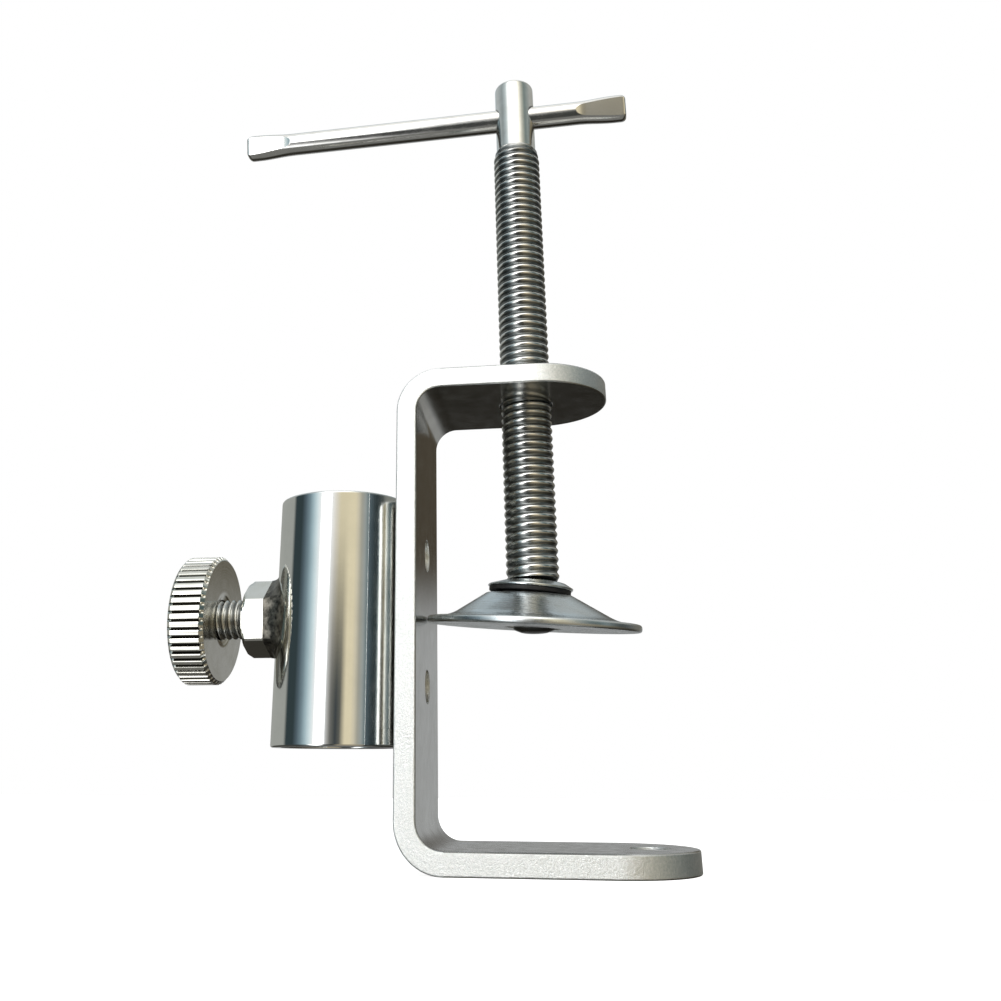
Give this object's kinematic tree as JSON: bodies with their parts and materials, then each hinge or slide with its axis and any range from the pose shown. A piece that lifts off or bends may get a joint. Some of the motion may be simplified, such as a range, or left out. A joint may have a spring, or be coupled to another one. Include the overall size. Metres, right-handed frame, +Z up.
{
  "type": "table clamp",
  "caption": "C-shaped table clamp with a tommy-bar screw, a swivel pad and, behind its upright, a socket tube with a knurled thumbscrew that holds a rod.",
  "frame": {"origin": "on the lower jaw's clamping face, under the clamp screw's axis", "axes": "+Z up along the clamp screw, +X from the upright towards the jaw tips, +Y across the bar's width, away from the side that the picture shows"},
  "size_m": [0.0734, 0.031, 0.1261],
  "materials": {
    "plated_bar": "satin bright zinc or nickel plate with a fine grain",
    "mirror_chrome": "mirror-bright chrome plate",
    "bright_nickel": "bright nickel plate on turned and rolled steel",
    "turned_steel": "turned and plated, with faint rings",
    "weld_metal": "plated weld metal, uneven",
    "blackened_steel": "dark, greased ball seat"
  },
  "bodies": {
    "frame": {"c_frame": "plated_bar", "socket_tube": "mirror_chrome", "upper_plug_weld": "weld_metal", "lower_plug_weld": "weld_metal", "hex_boss": "bright_nickel", "boss_weld": "bright_nickel"},
    "ball_seat": {"pad_seat": "blackened_steel"},
    "screw": {"clamp_screw": "bright_nickel"},
    "handle": {"tommy_bar": "bright_nickel"},
    "collar": {"pad_collar": "turned_steel"},
    "pad": {"pad_dish": "turned_steel"},
    "stud": {"thumbscrew_stud": "bright_nickel"},
    "knob": {"thumbscrew_knob": "bright_nickel"}
  },
  "joints": [
    {"name": "screw_feed", "type": "slide", "parent": "frame", "child": "ball_seat", "axis": [0, 0, 1], "range_m": [-0.025, 0.02625]},
    {"name": "screw_turn", "type": "hinge", "parent": "ball_seat", "child": "screw", "pos_m": [0, 0, 0.08], "axis": [0, 0, 1], "range_deg": [-7210, 7570]},
    {"name": "tommy_bar_slide", "type": "slide", "parent": "screw", "child": "handle", "axis": [0.9994, -0.0349, 0], "range_m": [-0.0068, 0.0368]},
    {"name": "pad_side_tilt", "type": "hinge", "parent": "ball_seat", "child": "collar", "pos_m": [0, 0, 0.0318], "axis": [0, 1, 0], "range_deg": [-8, 1.5]},
    {"name": "pad_front_tilt", "type": "hinge", "parent": "collar", "child": "pad", "pos_m": [0, 0, 0.0318], "axis": [0.998, 0, -0.0628], "range_deg": [-8.2, 0.3]},
    {"name": "thumbscrew_feed", "type": "slide", "parent": "frame", "child": "stud", "axis": [1, 0, 0], "range_m": [-0.003, 0.004]},
    {"name": "thumbscrew_turn", "type": "hinge", "parent": "stud", "child": "knob", "pos_m": [-0.05, 0, 0.0308], "axis": [1, 0, 0], "range_deg": [-1085, 1445]}
  ],
  "couplings": [
    {"joint": "screw_turn", "follows": "screw_feed", "rad_per_m": 5026.5},
    {"joint": "thumbscrew_turn", "follows": "thumbscrew_feed", "rad_per_m": 6283.2}
  ]
}
